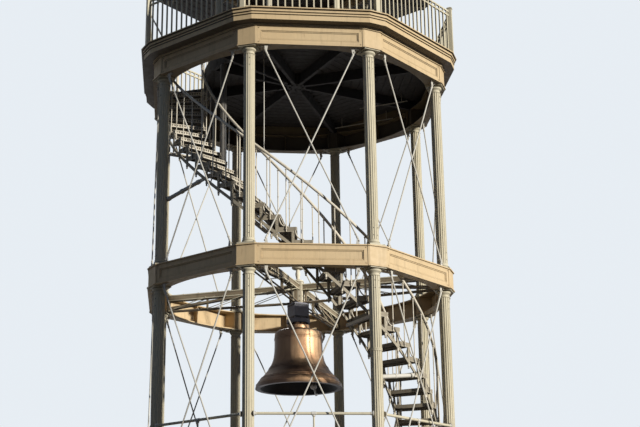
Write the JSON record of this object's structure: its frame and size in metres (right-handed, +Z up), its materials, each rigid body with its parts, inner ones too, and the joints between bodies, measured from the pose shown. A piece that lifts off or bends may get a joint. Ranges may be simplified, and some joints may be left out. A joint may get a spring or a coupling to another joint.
{
  "type": "fire watchtower",
  "caption": "Open octagonal iron lookout tower with ring girders, crossed rods, a helical stair, a hung bell, and a railed deck under a low roof.",
  "frame": {"origin": "on the ground under the middle of the tower", "axes": "+Z up, the flat front side faces -Y, +X to the right of someone facing that side"},
  "size_m": [5.5718, 5.5718, 14.304],
  "materials": {
    "tan_paint": "satin",
    "deck_iron": "matte",
    "tread_iron": "satin",
    "roof_brown": "matte",
    "iron_dark": "satin",
    "bronze": "polished"
  },
  "bodies": {
    "tower": {"bell": "bronze", "bell_beams": "tan_paint", "bell_yoke": "tan_paint", "cab_columns": "tan_paint", "cab_ring_beams": "tan_paint", "deck_cornice": "tan_paint", "deck_edge_plates": "deck_iron", "deck_plates": "deck_iron", "deck_railing_panels": "tan_paint", "deck_railing_posts": "tan_paint", "deck_ribs": "deck_iron", "deck_trimmer": "deck_iron", "flight_1_balusters": "tan_paint", "flight_1_handrails": "tan_paint", "flight_1_stringers": "tan_paint", "flight_1_treads": "tread_iron", "flight_2_balusters": "tan_paint", "flight_2_handrails": "tan_paint", "flight_2_stringers": "tan_paint", "flight_2_treads": "tread_iron", "flight_3_balusters": "tan_paint", "flight_3_handrails": "tan_paint", "flight_3_stringers": "tan_paint", "flight_3_treads": "tread_iron", "footings": "tan_paint", "headstock": "iron_dark", "level_1_corner_blocks": "tan_paint", "level_1_girders": "tan_paint", "level_1_rails": "tan_paint", "level_2_corner_blocks": "tan_paint", "level_2_girders": "tan_paint", "level_3_corner_blocks": "tan_paint", "level_3_girders": "tan_paint", "roof": "roof_brown", "roof_cap": "roof_brown", "roof_eaves": "roof_brown", "roof_finial": "roof_brown", "roof_soffit": "roof_brown", "stair_arms": "tan_paint", "stair_hanger_post": "tan_paint", "stair_newels": "tan_paint", "suspension_screw": "tan_paint", "tier_1_columns": "tan_paint", "tier_1_tie_rods": "tan_paint", "tier_2_columns": "tan_paint", "tier_2_tie_rods": "tan_paint", "tier_3_columns": "tan_paint", "tier_3_tie_rods": "tan_paint"},
    "clapper": {"clapper": "iron_dark"}
  },
  "joints": [
    {"name": "clapper_swing", "type": "hinge", "parent": "tower", "child": "clapper", "pos_m": [0, 0, 6.426], "axis": [0, 1, 0], "range_deg": [-13, 47]}
  ]
}
